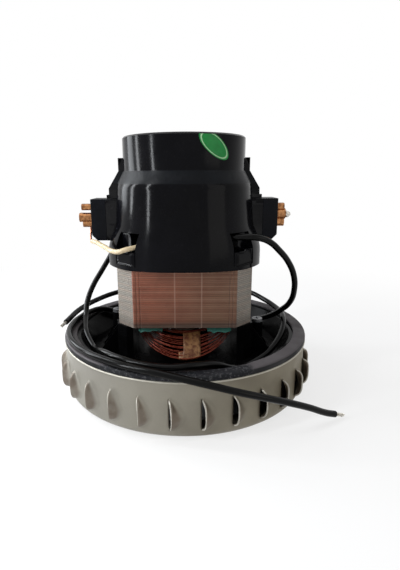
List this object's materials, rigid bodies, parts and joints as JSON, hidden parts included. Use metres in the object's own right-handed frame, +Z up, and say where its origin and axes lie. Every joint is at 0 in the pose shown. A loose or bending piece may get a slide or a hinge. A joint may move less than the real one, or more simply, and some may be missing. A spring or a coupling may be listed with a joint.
{
  "type": "vacuum motor unit",
  "caption": "Series-wound vacuum motor on a round fan housing with side louvres, a seal ring, brush holders and two loose leads.",
  "frame": {"origin": "centre of the fan housing's underside, on the shaft axis", "axes": "+Z up the shaft from the housing to the cooling air collar; -Y is the front with the label; the brushes lie along X"},
  "size_m": [0.157, 0.1529, 0.1421],
  "materials": {
    "housing_steel": "satin",
    "seal_rubber": "matte",
    "bowl_plastic": "gloss",
    "spring_steel": "satin",
    "lamination_steel": "satin",
    "screw_steel": "gloss",
    "slot_paper": "matte",
    "enamelled_wire": "gloss",
    "coil_tape": "satin",
    "cap_plastic": "gloss",
    "holder_plastic": "matte",
    "brass": "satin",
    "solder": "satin",
    "carbon": "matte",
    "bearing_steel": "gloss",
    "commutator_copper": "satin",
    "phenolic": "matte",
    "sleeve_plastic": "matte",
    "impeller_aluminium": "satin",
    "label_paper": "satin",
    "pale_lead": "satin",
    "black_lead": "satin"
  },
  "bodies": {
    "motor_frame": {"fan_housing": "housing_steel", "seal_ring": "seal_rubber", "lower_bracket": "bowl_plastic", "wave_washer": "spring_steel", "stator_core": "lamination_steel", "stator_bolts": "screw_steel", "slot_liners": "slot_paper", "field_coil_front": "enamelled_wire", "field_coil_rear": "enamelled_wire", "coil_tape_front": "coil_tape", "coil_tape_rear": "coil_tape", "upper_bracket": "cap_plastic", "bracket_screws": "screw_steel", "brush_holder_right": "holder_plastic", "brush_holder_left": "holder_plastic", "brush_tube_right": "brass", "brush_tube_left": "brass", "brush_terminal_right": "brass", "brush_terminal_left": "brass", "terminal_solder": "solder", "brush_spring_right": "spring_steel", "brush_spring_left": "spring_steel", "lower_bearing_outer_ring": "bearing_steel", "upper_bearing_outer_ring": "bearing_steel", "inspection_label": "label_paper", "inner_lead": "pale_lead", "black_lead_right": "black_lead", "black_lead_left": "black_lead", "lead_tip_right": "solder", "lead_tip_left": "solder"},
    "rotor": {"rotor_shaft": "bearing_steel", "armature_core": "lamination_steel", "armature_winding": "enamelled_wire", "commutator_bars": "commutator_copper", "commutator_hub": "phenolic", "lower_sleeve": "sleeve_plastic", "cooling_fan": "holder_plastic", "fan_clip": "spring_steel", "impeller_spacer": "screw_steel", "impeller_back_disc": "impeller_aluminium", "impeller_vanes": "impeller_aluminium", "impeller_front_disc": "impeller_aluminium", "impeller_washer": "screw_steel", "impeller_nut": "screw_steel", "lower_bearing_inner_ring": "bearing_steel", "upper_bearing_inner_ring": "bearing_steel", "lower_bearing_balls": "bearing_steel", "upper_bearing_balls": "bearing_steel"},
    "brush_right": {"carbon_brush_right": "carbon"},
    "brush_left": {"carbon_brush_left": "carbon"}
  },
  "joints": [
    {"name": "rotor_spin", "type": "hinge", "parent": "motor_frame", "child": "rotor", "pos_m": [0, 0, 0], "axis": [0, 0, 1], "continuous": true},
    {"name": "brush_right_slide", "type": "slide", "parent": "motor_frame", "child": "brush_right", "axis": [1, 0, 0], "range_m": [0, 0.004], "stiffness_N_per_m": 60, "springref_m": -0.03, "deforming": ["brush_spring_right"]},
    {"name": "brush_left_slide", "type": "slide", "parent": "motor_frame", "child": "brush_left", "axis": [-1, 0, 0], "range_m": [0, 0.004], "stiffness_N_per_m": 60, "springref_m": -0.03, "deforming": ["brush_spring_left"]}
  ]
}
